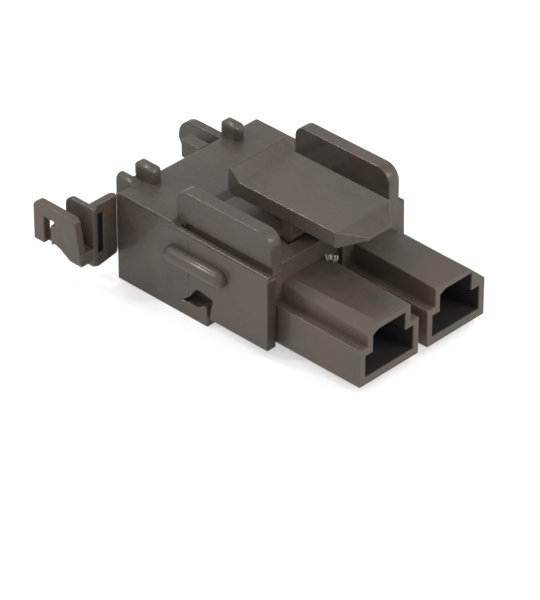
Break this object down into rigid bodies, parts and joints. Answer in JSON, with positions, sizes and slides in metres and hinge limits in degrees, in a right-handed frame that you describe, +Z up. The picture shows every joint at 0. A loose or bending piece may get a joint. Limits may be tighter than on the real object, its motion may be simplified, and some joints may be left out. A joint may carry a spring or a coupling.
{
  "type": "wire-side power connector housing",
  "caption": "Rectangular wire-side power connector housing with keyed noses, rocker latch, swing-out wire retainer and crimp contacts seated inside",
  "frame": {"origin": "middle of the rectangular body's footprint, on the plane the housing rests on", "axes": "+X toward the mating noses, +Y across the two circuits toward the second one, +Z up, the latch side"},
  "size_m": [0.0296, 0.0198, 0.0115],
  "materials": {
    "housing": "moulded dark brown-black nylon, satin",
    "latch_lever": "moulded dark brown-black nylon, satin",
    "left_retainer": "moulded dark brown-black nylon, satin",
    "contact_left": "tin plated sheet brass",
    "contact_right": "tin plated sheet brass"
  },
  "bodies": {
    "shell": {"housing": "housing", "contact_left": "contact_left", "contact_right": "contact_right"},
    "latch": {"latch_lever": "latch_lever"},
    "retainer": {"left_retainer": "left_retainer"}
  },
  "joints": [
    {"name": "latch_rock", "type": "hinge", "parent": "shell", "child": "latch", "pos_m": [0.00565, 0.00013, 0.0079], "axis": [0, 1, 0], "range_deg": [-10, 0], "stiffness_Nm_per_rad": 0.05},
    {"name": "retainer_swing", "type": "hinge", "parent": "shell", "child": "retainer", "pos_m": [-0.0086, -0.00775, 0.0049], "axis": [0, 0, 1], "range_deg": [-90, 0]}
  ]
}
